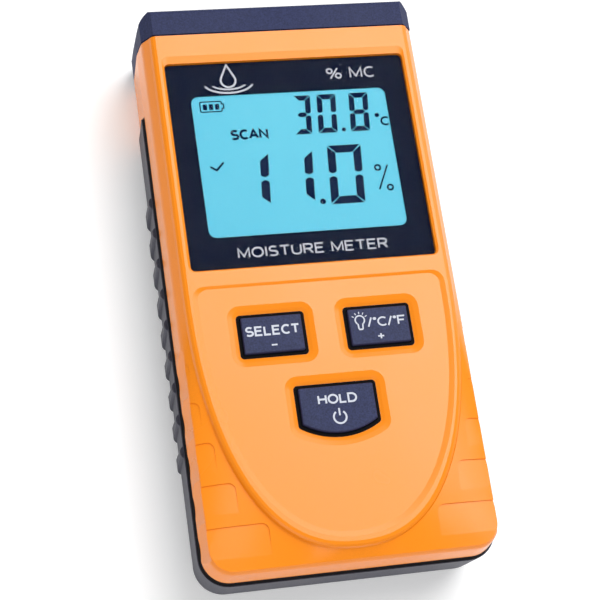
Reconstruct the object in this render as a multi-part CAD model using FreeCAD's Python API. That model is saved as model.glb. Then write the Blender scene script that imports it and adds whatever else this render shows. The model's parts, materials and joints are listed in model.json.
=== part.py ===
"""Handheld pinless moisture meter, millimetres.

The meter lies on its back: +Z points out of the display, +Y towards the sensor head and
+X to the right of the display. z = 0 is the flat back face, which the meter rests on and
which is pressed against the wood. Lengths along Y are laid out from a line just below the
display window, and main() then shifts every node so that the origin is at mid length.
"""

import FreeCAD, Part
import math
import os

V = FreeCAD.Vector

# Overall size
FACE_Z = 31.0                # flat front face above the back face
HEAD_Y = 72.4                # end of the sensor head
TAIL_Y = -73.65              # end of the rear cover
MIDDLE_Y = (HEAD_Y + TAIL_Y) / 2
SEAM_TOP = 20.6              # lower edge of the front housing's skirt
SEAM_BOTTOM = 19.0           # upper edge of the rear cover
HEAD_PLANE = 64.85           # front housing meets the sensor head
COLLAR_Y = 47.75             # rear cover ends, the housing's collar begins
SIDE_HALF = 36.0             # half width of the front housing at the seam
TAIL_WALL = -73.0            # tail of the front housing at the seam
COVER_HALF = 36.6            # half width of the rear cover at the seam
BACK_ROUND = 7.0             # rounding between the back face and the walls
BACK_FOOT = 35.4             # half width of the collar where that rounding starts
WALL = 2.2
SKIRT_CORNER = 5.0           # inner corner of the skirt
SKIRT_ROOF = 25.4            # inner ledge of the front housing above its skirt
TOP_ROOF = 26.6              # the same above the keypad, up to the solid bar at the head
HEAD_BAR = 3.0
HOLLOW = (31.0, -65.6, 2.3)  # hollow under the keypad: half width, tip, power
FIT = 0.1                    # slack between shells, and round parts that drop in

# Bead that frames the front face: half width, tip, power of its outline, height
CROWN_Y = -3.25              # the tongue starts to narrow here
CROWNS = (
    (33.85, -69.65, 2.36, 29.5),
    (33.45, -69.35, 2.36, 30.35),
    (32.9, -68.9, 2.36, 30.8),
    (32.3, -68.2, 2.36, FACE_Z),
)
# Shoulder and side wall: half width, tail, corner radius, height
RIMS = (
    (34.85, -71.8, 5.6, 28.0),
    (35.2, -72.15, 5.9, 27.4),
    (35.42, -72.4, 6.1, 26.8),
    (35.53, -72.5, 6.2, 26.2),
    (35.6, -72.58, 6.25, 25.4),
    (SIDE_HALF, TAIL_WALL, 6.6, SEAM_TOP),
)

# Keypad panel, sunk inside the bead: half width, top, tip, power, corner radius
PANEL_DEPTH = 0.35
PANEL_FLOOR = (30.3, -3.6, -65.7, 2.28, 2.6)
PANEL_BRIM = (31.6, -2.9, -67.1, 2.29, 3.2)
PANEL_Z = FACE_Z - PANEL_DEPTH
ROOF = 28.6                  # inner side of the front face

# Display
WINDOW_X = 30.95
WINDOW_Y = (1.3, 57.1)
WINDOW_CORNER = 1.2
WINDOW_RECESS = 0.4          # lens surface below the face
RECESS_SIDE = 0.6            # run of the recess walls at the sides
RECESS_LOW = 0.4
RECESS_TOP = 1.9
LENS_THICK = 1.0
MASK_THICK = 0.15
MASK_GAP = 0.05              # air between the printed film and the lens
LCD_X = 25.2
LCD_Y = (9.95, 48.15)
LCD_CORNER = 2.0
LEDGE = 2.6                  # width of the seat under the lens
LENS_TOP = FACE_Z - WINDOW_RECESS
FILM_TOP = LENS_TOP - LENS_THICK - MASK_GAP
SEAT_Z = FILM_TOP - MASK_THICK

# Keys
KEY_X = (4.85, 21.65)
KEY_Y = (-21.65, -10.6)
KEY_CORNER = 1.0
HOLD_X = 10.15
HOLD_Y = (-39.8, -29.4)
HOLD_TIP = -42.85
KEY_TOP = 30.95
KEY_INSET = 0.98             # key face inside the edge of its opening
KEY_EDGE = 0.2               # softened edge round the key face
FLANGE_GROW = 0.4
FLANGE_Z = (26.4, 27.8)
COLLAR_TOP = 30.0            # rubber collar round each key
COLLAR_BORE = 0.8
DISH = ((0.05, 0.8), (1.0, 0.38), (2.2, 0.0))     # growth of the outline, depth below the panel

# Grip
SCALLOP_FIRST = -20.55
SCALLOP_PITCH = 10.2
SCALLOP_COUNT = 5
POCKET_DEPTH = 0.35
POCKET_RUN = 7.5
POCKET_CORNER = 1.8
POCKET_MARGIN = 1.0          # pocket ends this far outside the foot of the bead
POCKET_CLEAR = 0.15          # keeps the pocket's cutter off the side wall
FLUTE_RADIUS = 22.0
FLUTE_DROP = 3.2             # deepest place of a flute below the pocket's top edge
FLUTE_SEAM = 0.2             # flute depth at the seam
FLUTE_LEAN = 12.5
RIB_FIRST = 24.8
RIB_PITCH = 8.1
RIB_COUNT = 9
RIB_RADIUS = 1.7
RIB_RISE = 0.75
RIB_Z = (2.0, 18.2)
COVER_TAPER = 0.9
COVER_CORNER = 7.3
# Hollow of the rear cover: half width, tail, corner radius, height
COVER_HOLLOW = (
    (29.2, -66.2, 3.5, WALL),
    (33.6, -70.6, 4.6, BACK_ROUND),
    (34.1, -71.1, 5.0, SEAM_BOTTOM + 0.5),
)
GASKET_INNER = (34.3, -71.3, 5.2)

# Electronics
BOARD_Z = (20.4, 22.0)
BOARD_HALF = 29.2
BOARD_Y = (-46.0, 57.0)
BOARD_GAP = 0.6              # gap between the battery fence and the board
BOARD_HOLE = 1.0
POST_HOLE = 3.1
LCD_Z = (27.1, 29.2)
GLASS_X = 25.9
GLASS_Y = (6.8, 50.8)
FRAME_WALL = 1.0
GUIDE_X = 25.6
GUIDE_Y = (9.7, 48.0)
GUIDE_Z = (23.4, 27.0)
ZEBRA_HALF = 22.0
ZEBRA_WIDE = 1.6
ZEBRA_EDGE = 0.6
LED_X = (-14.0, 0.0, 14.0)
LED_Y = (12.0, 13.5)
LED_HALF = 1.5
SWITCH_TOP = 25.5
SWITCH_HALF = 3.0
CHIP = (-5.0, 5.0, 24.0, 34.0)
CHIP_THICK = 1.2
# Parts on the board's lower side: x from and to, y from and to, height
BLOCKS = (
    (-8.0, -2.0, 0.0, 4.0, 1.6),
    (2.0, 8.0, 0.0, 4.0, 1.6),
    (-4.0, 4.0, 10.0, 13.5, 3.4),
    (-6.0, 2.0, 30.0, 36.0, 1.5),
)
CHIP_ROW = (14.0, 2.2, 6)    # row of six small resistors: first x, pitch, count
CHIP_SIZE = (1.2, 2.0, 0.6)
CHIP_ROW_Y = 38.0
CANS = ((-20.0, 8.0), (-20.0, 15.0))
CAN_RADIUS = 2.5
CAN_HIGH = 6.0
BUZZER = (18.0, 14.0)
BUZZER_RADIUS = 6.0
BUZZER_HIGH = 4.0
BUZZER_PORT = 1.5            # depth of its sound hole
THERMISTOR = (12.0, 59.0)
MEMBRANE = (-24.0, 24.0, -46.0, -8.2)

# Battery
BATTERY = (26.5, 46.4, 17.5)          # width, length without terminals, thickness
BATTERY_Y = -61.2                     # tail end of the battery
BATTERY_Z = 2.6
TERMINAL_LENGTH = 2.1
TERMINALS = ((-6.35, 2.9), (6.35, 3.7))
SNAP_THICK = 2.4
SNAP_HIGH = 11.0
BAY_HALF = 13.5
BAY_Y = (-61.6, -8.9)
BAY_WALL = 1.4
DOOR_HALF = 13.2
DOOR_THICK = 2.0
DOOR_GAP = 0.3
PIVOT_Y = -10.2
PIN_RADIUS = 0.7
PIN_FIT = 0.05
PIN_REACH = 0.8
GROOVE_COUNT = 5

# Screws: places, head radius, head height, shank radius
CASE_SCREWS = ((-29.9, -56.5), (29.9, -56.5), (-29.9, 36.0), (29.9, 36.0))
BOARD_SCREWS = ((-26.4, -2.2), (26.4, -2.2), (-26.0, 54.2), (26.0, 54.2))
HEAD_SCREWS = ((-22.9, 60.6), (22.9, 60.6))
CASE_SCREW = (2.4, 1.8, 1.05)
BOARD_SCREW = (1.8, 1.4, 0.72)
HEAD_SCREW = (1.9, 1.4, 0.85)
# Posts of the front housing: radius, pilot radius, top of the pilot hole
CASE_POST = (2.7, 1.1, 22.0)
BOARD_POST = (1.9, 0.75, 26.0)
HEAD_POST = (2.4, 0.9, 14.0)
POST_TOP = 27.4
COVER_POST = 3.4             # rear cover posts: radius, then the sink for the screw head
SINK_RADIUS = 2.6
SINK_DEPTH = 4.0
CASE_TIP = 20.0              # screw tips
BOARD_TIP = 25.5
HEAD_TIP = 12.5
HEAD_SINK = 2.2
POST_FOOT = 12.0             # case screw posts of the two shells meet here
HEAD_BOSS = 6.0              # sensor head bosses meet the housing posts here

# Sensor
SENSOR_X = 19.5
SENSOR_Y = (50.0, 69.4)
SENSOR_DEPTH = 1.0
FOIL = 0.2
PLATE_HALF = 25.3            # sensor plate between the housing's collar walls
PLATE_THICK = 2.4
PLATE_FIT = 0.2
PLATE_SLOT = 8.0             # height of the housing's opening for the plate and its parts
HEAD_CORNER = 4.0
HEAD_EDGE = 1.5              # rounding between the front face and the end
HEAD_HEEL = 2.5              # rounding between the back face and the end
GROOVE = 0.4                 # shadow groove between head and housing
COIL = (10.0, 57.0)
SENSOR_BOARD = (-18.0, 18.0, 50.0, 63.8)
SENSOR_BOARD_TOP = PLATE_THICK + 1.6

# Label
LABEL_X = 17.0
LABEL_Y = (4.0, 30.0)
LABEL_THICK = 0.3

KEY_CENTRES = (
    (-(KEY_X[0] + KEY_X[1]) / 2, (KEY_Y[0] + KEY_Y[1]) / 2),
    ((KEY_X[0] + KEY_X[1]) / 2, (KEY_Y[0] + KEY_Y[1]) / 2),
    (0.0, (HOLD_TIP + HOLD_Y[1]) / 2),
)
PAST = 1.0                   # how far a cutter runs past the face that it opens
WIDE = 40.0                  # half width of a cutter that spans the whole meter


def box(x0, x1, y0, y1, z0, z1):
    return Part.makeBox(x1 - x0, y1 - y0, z1 - z0, V(x0, y0, z0))


def pillar(x, y, z0, z1, radius):
    return Part.makeCylinder(radius, z1 - z0, V(x, y, z0), V(0, 0, 1))


def rod(x0, x1, y, z, radius):
    return Part.makeCylinder(radius, x1 - x0, V(x0, y, z), V(1, 0, 0))


def mirrored(shape):
    return shape.mirror(V(0, 0, 0), V(1, 0, 0))


def both_sides(shape):
    return [shape, mirrored(shape)]


def fuse_all(shapes):
    return shapes[0].multiFuse(shapes[1:]).removeSplitter()


def arc(a, b, c):
    return Part.Arc(a, b, c).toShape()


def line(a, b):
    return Part.makeLine(a, b)


def round_corner(corner, start, end):
    """Quarter circle from start to end, for a square corner at the given point."""
    middle = corner + ((start - corner) + (end - corner)) * (1 - math.sqrt(0.5))
    return arc(start, middle, end)


def rounded_rect(x0, x1, y0, y1, radius, z):
    """Closed wire of a rectangle with round corners."""
    corners = [V(x1, y0, z), V(x0, y0, z), V(x0, y1, z), V(x1, y1, z)]
    ways = [V(0, -1, 0), V(-1, 0, 0), V(0, 1, 0), V(1, 0, 0)]
    edges = []
    for i, corner in enumerate(corners):
        onward = ways[(i + 1) % 4]
        start = corner - ways[i] * radius
        end = corner + onward * radius
        edges.append(round_corner(corner, start, end))
        edges.append(line(end, corners[(i + 1) % 4] - onward * radius))
    return Part.Wire(edges)


def slab(wire, height):
    return Part.Face(wire).extrude(V(0, 0, height))


def tile(x0, x1, y0, y1, radius, z0, z1):
    return slab(rounded_rect(x0, x1, y0, y1, radius, z0), z1 - z0)


def tail_wire(half, tail, radius, z, head=CROWN_Y):
    """Rounded tail of the body, closed by a straight line across at y = head."""
    right = [V(half, head, z), V(half, tail + radius, z), V(half - radius, tail, z)]
    left = [V(-p.x, p.y, p.z) for p in right]
    return Part.Wire([
        line(right[0], right[1]),
        round_corner(V(half, tail, z), right[1], right[2]),
        line(right[2], left[2]),
        round_corner(V(-half, tail, z), left[2], left[1]),
        line(left[1], left[0]),
        line(left[0], right[0]),
    ])


def bow(half, centre, tip, power, breaks, z):
    """Half a super-ellipse below y = centre, as one spline between each two of the break angles."""
    edges = []
    steps = 8
    for start, end in zip(breaks[:-1], breaks[1:]):
        points = []
        for i in range(steps + 1):
            angle = start + (end - start) * i / steps
            c = math.cos(angle)
            s = math.sin(angle)
            reach = (abs(c) ** power + abs(s) ** power) ** (-1.0 / power)
            points.append(V(half * reach * c, centre + (tip - centre) * reach * s, z))
        curve = Part.BSplineCurve()
        curve.interpolate(points)
        edges.append(curve.toShape())
    return edges


def crown_wire(half, tip, power, z):
    """Tongue outline in the same five stretches as tail_wire, closed across at CROWN_Y."""
    rim_half, rim_tail, rim_corner, _ = RIMS[0]
    depth = CROWN_Y - rim_tail
    first = math.atan2((depth - rim_corner) / depth, 1.0)
    second = math.atan2(1.0, (rim_half - rim_corner) / rim_half)
    breaks = (0.0, first, second, math.pi - second, math.pi - first, math.pi)
    edges = bow(half, CROWN_Y, tip, power, breaks, z)
    edges.append(line(V(-half, CROWN_Y, z), V(half, CROWN_Y, z)))
    return Part.Wire(edges)


def panel_wire(half, top, tip, power, corner, z):
    """Outline of the keypad panel: straight top, round corners, tongue-shaped below."""
    low = top - corner
    breaks = [math.pi * i / 4 for i in range(5)]
    edges = bow(half, low, tip, power, breaks, z)
    edges.append(round_corner(V(-half, top, z), V(-half, low, z), V(-half + corner, top, z)))
    edges.append(line(V(-half + corner, top, z), V(half - corner, top, z)))
    edges.append(round_corner(V(half, top, z), V(half - corner, top, z), V(half, low, z)))
    return Part.Wire(edges)


def section(points, y0, y1):
    """Half outline in X and Z, mirrored about x = 0 and run along Y."""
    right = [V(x, y0, z) for x, z in points]
    left = [V(-x, y0, z) for x, z in reversed(points)]
    outline = Part.makePolygon(right + left + [right[0]])
    return Part.Face(outline).extrude(V(0, y1 - y0, 0))


def closed_section(points, inset, y0, y1):
    """As section, carried on round the back edge to a flat back face at z = inset."""
    foot = BACK_FOOT - inset
    radius = BACK_ROUND - inset
    right = [V(x, y0, z) for x, z in points] + [V(foot, y0, BACK_ROUND)]
    edges = [line(a, b) for a, b in zip(right[:-1], right[1:])]
    low = V(foot - radius, y0, inset)
    edges.append(round_corner(V(foot, y0, inset), right[-1], low))
    edges += [mirrored(edge) for edge in edges]
    edges.append(line(low, V(-low.x, low.y, low.z)))
    edges.append(line(right[0], V(-right[0].x, y0, right[0].z)))
    outline = Part.Wire(Part.__sortEdges__(edges))
    return Part.Face(outline).extrude(V(0, y1 - y0, 0))


def front_profile():
    """Half section of the front housing above its skirt edge."""
    points = [(crown[0], crown[3]) for crown in reversed(CROWNS)]
    return points + [(rim[0], rim[3]) for rim in RIMS]


def front_hull():
    """Outer shape of the front housing down to its skirt edge."""
    wires = [tail_wire(*rim) for rim in reversed(RIMS)]
    wires += [crown_wire(*crown) for crown in CROWNS]
    tail = Part.makeLoft(wires, True, True)
    body = section(front_profile(), CROWN_Y, HEAD_PLANE)
    return tail.fuse(body).removeSplitter()


def cap_points(inset):
    """Half section of the sensor head above the seam, with a flat bevel along each corner."""
    return [
        (32.7 - inset, FACE_Z - inset),
        (35.5 - inset, 27.4 - inset * 0.4),
        (SIDE_HALF - inset, SEAM_TOP),
    ]


def key_pocket(outline):
    """Dished recess round a key, with the key's opening through its floor."""
    dish = Part.makeLoft([outline(grow, PANEL_Z - depth) for grow, depth in DISH], True, True)
    bore = slab(outline(0.0, ROOF - PAST), FACE_Z - ROOF + PAST)
    return dish.fuse(bore)


def side_key_outline(grow, z):
    """Opening of the right-hand key; the left one is its mirror image."""
    corner = max(KEY_CORNER + grow, 0.35)
    return rounded_rect(
        KEY_X[0] - grow, KEY_X[1] + grow, KEY_Y[0] - grow, KEY_Y[1] + grow, corner, z
    )


def hold_outline(grow, z):
    """Opening of the centre key: straight top and sides, bowed lower edge, round corners."""
    half = HOLD_X + grow
    top = HOLD_Y[1] + grow
    tip = HOLD_TIP - grow
    sag = HOLD_Y[0] - HOLD_TIP + grow * 0.3
    r = max(KEY_CORNER + grow, 0.35)
    bow_radius = (half ** 2 + sag ** 2) / (2 * sag)
    bow_centre = V(0, tip + bow_radius, z)
    drop = math.sqrt((bow_radius - r) ** 2 - (half - r) ** 2)
    turn = V(half - r, bow_centre.y - drop, z)
    side = V(half, turn.y, z)
    outward = (turn - bow_centre).normalize()
    foot = turn + outward * r
    middle = turn + (V(1, 0, 0) + outward).normalize() * r
    return Part.Wire([
        line(V(half, top - r, z), side),
        arc(side, middle, foot),
        arc(foot, V(0, tip, z), V(-foot.x, foot.y, z)),
        arc(V(-foot.x, foot.y, z), V(-middle.x, middle.y, z), V(-half, side.y, z)),
        line(V(-half, side.y, z), V(-half, top - r, z)),
        round_corner(V(-half, top, z), V(-half, top - r, z), V(-half + r, top, z)),
        line(V(-half + r, top, z), V(half - r, top, z)),
        round_corner(V(half, top, z), V(half - r, top, z), V(half, top - r, z)),
    ])


def window_recess():
    """Seat for the lens with sloped walls, the top wall widest."""
    low = rounded_rect(-WINDOW_X, WINDOW_X, *WINDOW_Y, WINDOW_CORNER, LENS_TOP)
    high = rounded_rect(
        -WINDOW_X - RECESS_SIDE, WINDOW_X + RECESS_SIDE,
        WINDOW_Y[0] - RECESS_LOW, WINDOW_Y[1] + RECESS_TOP, WINDOW_CORNER + RECESS_SIDE, FACE_Z,
    )
    slope = Part.makeLoft([low, high], True, True)
    seat = tile(-WINDOW_X, WINDOW_X, *WINDOW_Y, WINDOW_CORNER, SEAT_Z, LENS_TOP)
    hole = tile(
        -WINDOW_X + LEDGE, WINDOW_X - LEDGE, WINDOW_Y[0] + LEDGE, WINDOW_Y[1] - LEDGE,
        LCD_CORNER, SEAM_TOP, LENS_TOP,
    )
    return fuse_all([slope, seat, hole])


def keypad_panel():
    """Shallow dish with sloped sides that leaves the bead standing round the keys."""
    return Part.makeLoft([panel_wire(*PANEL_FLOOR, PANEL_Z), panel_wire(*PANEL_BRIM, FACE_Z)], True, True)


def bead_foot_half(y):
    """Half width of the foot of the bead at a given Y."""
    half, tip, power, _ = CROWNS[0]
    share = max(0.0, 1.0 - ((CROWN_Y - y) / (CROWN_Y - tip)) ** power)
    return half * share ** (1.0 / power)


def grip_pocket(top_y, hull):
    """Shallow finger pocket on the right shoulder: a step at its top that fades out below."""
    low_y = top_y - POCKET_RUN
    inner_x = bead_foot_half(top_y) + POCKET_MARGIN
    block = tile(inner_x, WIDE, low_y - 2 * PAST, top_y, POCKET_CORNER, RIMS[3][3], FACE_Z)
    floor = hull.copy()
    fade = math.degrees(math.atan2(POCKET_DEPTH, POCKET_RUN))
    floor.rotate(V(0, low_y, RIMS[0][3]), V(1, 0, 0), -fade)
    floor.translate(V(POCKET_CLEAR, 0, 0))
    return block.cut(floor)


def grip_flute(top_y):
    """Wide, shallow finger flute in the right side wall, deeper towards the rim."""
    y = top_y - FLUTE_DROP
    x = SIDE_HALF - FLUTE_SEAM + FLUTE_RADIUS / math.cos(math.radians(FLUTE_LEAN))
    cutter = pillar(x, y, SEAM_TOP - 8, SEAM_TOP + 12, FLUTE_RADIUS)
    cutter.rotate(V(x, y, SEAM_TOP), V(0, 1, 0), -FLUTE_LEAN)
    return cutter


def post(x, y, z0, radius, bore, bore_top):
    """Screw post with a blind pilot hole from its lower end."""
    return pillar(x, y, z0, POST_TOP, radius).cut(pillar(x, y, z0 - PAST, bore_top, bore))


def front_housing():
    collar = closed_section(front_profile(), 0.0, COLLAR_Y, HEAD_PLANE)
    hull = front_hull()
    shell = hull.fuse(collar).removeSplitter()
    inner_half = SIDE_HALF - WALL
    plate_slot = PLATE_HALF + PLATE_FIT
    below_seam = box(-WIDE, WIDE, COLLAR_Y - PAST, HEAD_PLANE + PAST, -PAST, SEAM_TOP)
    cuts = [
        slab(
            tail_wire(inner_half, TAIL_WALL + WALL, SKIRT_CORNER, SEAM_TOP - PAST),
            SKIRT_ROOF - SEAM_TOP + PAST,
        ),
        box(-inner_half, inner_half, CROWN_Y, HEAD_PLANE, SEAM_TOP - PAST, SKIRT_ROOF),
        slab(crown_wire(*HOLLOW, SEAM_TOP), ROOF - SEAM_TOP),
        box(-HOLLOW[0], HOLLOW[0], CROWN_Y, HEAD_PLANE - HEAD_BAR, SEAM_TOP, TOP_ROOF),
        closed_section(cap_points(WALL), WALL, COLLAR_Y - PAST, HEAD_PLANE + PAST).common(below_seam),
        box(-plate_slot, plate_slot, COLLAR_Y - PAST, HEAD_PLANE + PAST, -PAST, PLATE_SLOT),
        window_recess(),
        keypad_panel(),
        key_pocket(side_key_outline),
        mirrored(key_pocket(side_key_outline)),
        key_pocket(hold_outline),
    ]
    for i in range(SCALLOP_COUNT):
        top_y = SCALLOP_FIRST - SCALLOP_PITCH * i
        cuts += both_sides(grip_pocket(top_y, hull))
        cuts += both_sides(grip_flute(top_y))
    for cut in cuts:
        shell = shell.cut(cut)
    for x, y in CASE_SCREWS:
        shell = shell.fuse(post(x, y, POST_FOOT, *CASE_POST))
    for x, y in BOARD_SCREWS:
        shell = shell.fuse(post(x, y, BOARD_Z[1], *BOARD_POST))
    for x, y in HEAD_SCREWS:
        shell = shell.fuse(post(x, y, HEAD_BOSS, *HEAD_POST))
    return shell.removeSplitter()


def window_tile(z0, z1):
    gap = FIT / 2
    return tile(
        -WINDOW_X + gap, WINDOW_X - gap, WINDOW_Y[0] + gap, WINDOW_Y[1] - gap,
        WINDOW_CORNER - gap, z0, z1,
    )


def display_window():
    return window_tile(LENS_TOP - LENS_THICK, LENS_TOP)


def window_mask():
    aperture = tile(-LCD_X, LCD_X, *LCD_Y, LCD_CORNER, SEAT_Z - PAST, FILM_TOP + PAST)
    return window_tile(SEAT_Z, FILM_TOP).cut(aperture)


def lcd_panel():
    return box(-GLASS_X, GLASS_X, *GLASS_Y, *LCD_Z)


def lcd_frame():
    outside = FIT + FRAME_WALL
    outer = tile(
        -GLASS_X - outside, GLASS_X + outside, GLASS_Y[0] - outside, GLASS_Y[1] + outside,
        1.0, BOARD_Z[1], LCD_Z[1] - 0.2,
    )
    inner = box(
        -GLASS_X - FIT, GLASS_X + FIT, GLASS_Y[0] - FIT, GLASS_Y[1] + FIT, BOARD_Z[0], LCD_Z[1]
    )
    return outer.cut(inner)


def backlight_panel():
    return box(-GUIDE_X, GUIDE_X, *GUIDE_Y, *GUIDE_Z)


def backlight_leds():
    top = GUIDE_Z[0] - FIT
    return Part.makeCompound([box(x - LED_HALF, x + LED_HALF, *LED_Y, BOARD_Z[1], top) for x in LED_X])


def zebra_connectors():
    starts = (GLASS_Y[0] + ZEBRA_EDGE, GLASS_Y[1] - ZEBRA_EDGE - ZEBRA_WIDE)
    strips = [box(-ZEBRA_HALF, ZEBRA_HALF, y, y + ZEBRA_WIDE, BOARD_Z[1], LCD_Z[0]) for y in starts]
    return Part.makeCompound(strips)


def main_board():
    board = tile(-BOARD_HALF, BOARD_HALF, *BOARD_Y, 2.0, *BOARD_Z)
    for x, y in BOARD_SCREWS:
        board = board.cut(pillar(x, y, BOARD_Z[0] - PAST, BOARD_Z[1] + PAST, BOARD_HOLE))
    for x, y in CASE_SCREWS:
        board = board.cut(pillar(x, y, BOARD_Z[0] - PAST, BOARD_Z[1] + PAST, POST_HOLE))
    return board


def controller_chip():
    """Square package with a round dimple at its first pin."""
    top = BOARD_Z[1] + CHIP_THICK
    body = box(*CHIP, BOARD_Z[1], top)
    return body.cut(pillar(CHIP[0] + 1, CHIP[3] - 1, top - 0.1, top + PAST, 0.5))


def capacitors():
    low = BOARD_Z[0]
    return Part.makeCompound([pillar(x, y, low - CAN_HIGH, low, CAN_RADIUS) for x, y in CANS])


def board_components():
    low = BOARD_Z[0]
    blocks = [box(x0, x1, y0, y1, low - high, low) for x0, x1, y0, y1, high in BLOCKS]
    first, pitch, count = CHIP_ROW
    wide, long, high = CHIP_SIZE
    for i in range(count):
        x = first + i * pitch
        blocks.append(box(x, x + wide, CHIP_ROW_Y, CHIP_ROW_Y + long, low - high, low))
    return Part.makeCompound(blocks)


def buzzer():
    low = BOARD_Z[0]
    can = pillar(*BUZZER, low - BUZZER_HIGH, low, BUZZER_RADIUS)
    return can.cut(pillar(*BUZZER, low - BUZZER_HIGH - PAST, low - BUZZER_HIGH + BUZZER_PORT, 1.0))


def thermistor():
    """Bead on two wires that hang from a tab at the board's end."""
    x, y = THERMISTOR
    bead = pillar(x, y, 16.8, 19.2, 1.2)
    legs = [pillar(x + side, y, 19.0, 20.8, 0.25) for side in (-0.5, 0.5)]
    tab = box(x - 1.5, x + 1.5, BOARD_Y[1], y + 0.6, 20.6, 21.4)
    return fuse_all([bead, tab] + legs)


def tact_switches():
    bodies = []
    for x, y in KEY_CENTRES:
        base = box(
            x - SWITCH_HALF, x + SWITCH_HALF, y - SWITCH_HALF, y + SWITCH_HALF,
            BOARD_Z[1], SWITCH_TOP - 0.5,
        )
        bodies.append(base.fuse(pillar(x, y, SWITCH_TOP - 0.6, SWITCH_TOP, 1.75)))
    return Part.makeCompound(bodies)


def keypad_membrane():
    """Rubber sheet under the roof with a collar that lines each key opening."""
    sheet = tile(*MEMBRANE, 2.0, FLANGE_Z[1], ROOF)
    overlap = 0.4
    collars = []
    bores = []
    for outline in (side_key_outline, hold_outline):
        collar = slab(outline(-0.03, ROOF - overlap), COLLAR_TOP - ROOF + overlap)
        bore = slab(outline(-COLLAR_BORE, FLANGE_Z[1] - PAST), COLLAR_TOP - FLANGE_Z[1] + 2 * PAST)
        collars.append(collar)
        bores.append(bore)
    collars.append(mirrored(collars[0]))
    bores.append(mirrored(bores[0]))
    sheet = fuse_all([sheet] + collars)
    for bore in bores:
        sheet = sheet.cut(bore)
    return sheet


def key_from(outline):
    """Key cap with a softened top edge and a flange that rests under the membrane."""
    shoulder = KEY_TOP - KEY_EDGE
    stem = slab(outline(-KEY_INSET, FLANGE_Z[1]), shoulder - FLANGE_Z[1])
    top = Part.makeLoft(
        [outline(-KEY_INSET, shoulder), outline(-KEY_INSET - KEY_EDGE, KEY_TOP)], True, True
    )
    flange = slab(outline(FLANGE_GROW, FLANGE_Z[0]), FLANGE_Z[1] - FLANGE_Z[0])
    return fuse_all([stem, top, flange])


def key_light():
    return key_from(side_key_outline)


def key_select():
    return mirrored(key_from(side_key_outline))


def key_hold():
    return key_from(hold_outline)


def cover_block(grow):
    """Outer shape of the rear cover: tapered walls and a rounded back edge."""
    head = COLLAR_Y - FIT
    half = COVER_HALF + grow
    tail = TAIL_Y - grow
    top = tail_wire(half, tail, COVER_CORNER, SEAM_BOTTOM, head)
    low = tail_wire(half - COVER_TAPER, tail + COVER_TAPER, COVER_CORNER, 0.0, head)
    block = Part.makeLoft([low, top], True, True)
    edges = [e for e in block.Edges if e.BoundBox.ZMax < 0.01 and e.BoundBox.YMin < head - 0.5]
    return block.makeFillet(BACK_ROUND, edges)


def cover_cavity():
    head = COLLAR_Y + PAST
    return Part.makeLoft([tail_wire(*level, head) for level in COVER_HOLLOW], True, True)


def grip_ribs(cavity):
    """Upright ribs on both sides of the rear cover."""
    grown = cover_block(RIB_RISE)
    x = COVER_HALF + RIB_RISE - RIB_RADIUS
    ribs = []
    for i in range(RIB_COUNT):
        rib = pillar(x, RIB_FIRST - RIB_PITCH * i, *RIB_Z, RIB_RADIUS)
        ribs += both_sides(rib.common(grown).cut(cavity))
    return ribs


def rear_cover():
    block = cover_block(0.0)
    cavity = cover_cavity()
    shell = block.cut(cavity)
    fence = box(
        -BAY_HALF - BAY_WALL, BAY_HALF + BAY_WALL, BAY_Y[0] - BAY_WALL, BAY_Y[1] + BAY_WALL,
        PAST, BOARD_Z[0] - BOARD_GAP,
    )
    shell = shell.fuse(fence)
    for x, y in CASE_SCREWS:
        shell = shell.fuse(pillar(x, y, 0.0, POST_FOOT, COVER_POST).common(block.fuse(cavity)))
    shell = shell.multiFuse(grip_ribs(cavity))
    socket_reach = BAY_HALF + PIN_REACH + 0.3
    cuts = [
        box(-BAY_HALF, BAY_HALF, *BAY_Y, -PAST, BOARD_Z[0]),
        rod(-socket_reach, socket_reach, PIVOT_Y, DOOR_THICK / 2, PIN_RADIUS + PIN_FIT),
        tile(-LABEL_X, LABEL_X, *LABEL_Y, 1.5, 0, LABEL_THICK),
        box(9.5, 10.7, BAY_Y[1] + BAY_WALL - PAST, BAY_Y[1] + 3, 15, BOARD_Z[0]),
    ]
    for x, y in CASE_SCREWS:
        cuts.append(pillar(x, y, -PAST, SINK_DEPTH, SINK_RADIUS))
        cuts.append(pillar(x, y, SINK_DEPTH - PAST, POST_FOOT + PAST, 1.3))
    for cut in cuts:
        shell = shell.cut(cut)
    return shell.removeSplitter()


def rating_label():
    return tile(
        -LABEL_X + FIT, LABEL_X - FIT, LABEL_Y[0] + FIT, LABEL_Y[1] - FIT, 1.4, 0, LABEL_THICK
    )


def seam_gasket():
    """Dark strip between the two shells, set slightly back from both."""
    head = COLLAR_Y - FIT
    outer = Part.makeLoft([
        tail_wire(COVER_HALF - 0.25, TAIL_Y + 0.25, 7.0, SEAM_BOTTOM, head),
        tail_wire(SIDE_HALF - 0.1, TAIL_WALL + 0.1, 6.5, SEAM_TOP, head),
    ], True, True)
    through = SEAM_TOP - SEAM_BOTTOM + 2 * PAST
    inner = slab(tail_wire(*GASKET_INNER, SEAM_BOTTOM - PAST, head + PAST), through)
    return outer.cut(inner)


def head_side_view():
    """Side view of the sensor head, rounded at its end and run across the whole width."""
    high = V(-WIDE, HEAD_Y, FACE_Z)
    low = V(-WIDE, HEAD_Y, 0)
    points = [
        V(-WIDE, 0, 0), low - V(0, HEAD_HEEL, 0), low + V(0, 0, HEAD_HEEL),
        high - V(0, 0, HEAD_EDGE), high - V(0, HEAD_EDGE, 0), V(-WIDE, 0, FACE_Z),
    ]
    outline = Part.Wire([
        line(points[0], points[1]),
        round_corner(low, points[1], points[2]),
        line(points[2], points[3]),
        round_corner(high, points[3], points[4]),
        line(points[4], points[5]),
        line(points[5], points[0]),
    ])
    return Part.Face(outline).extrude(V(2 * WIDE, 0, 0))


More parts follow.
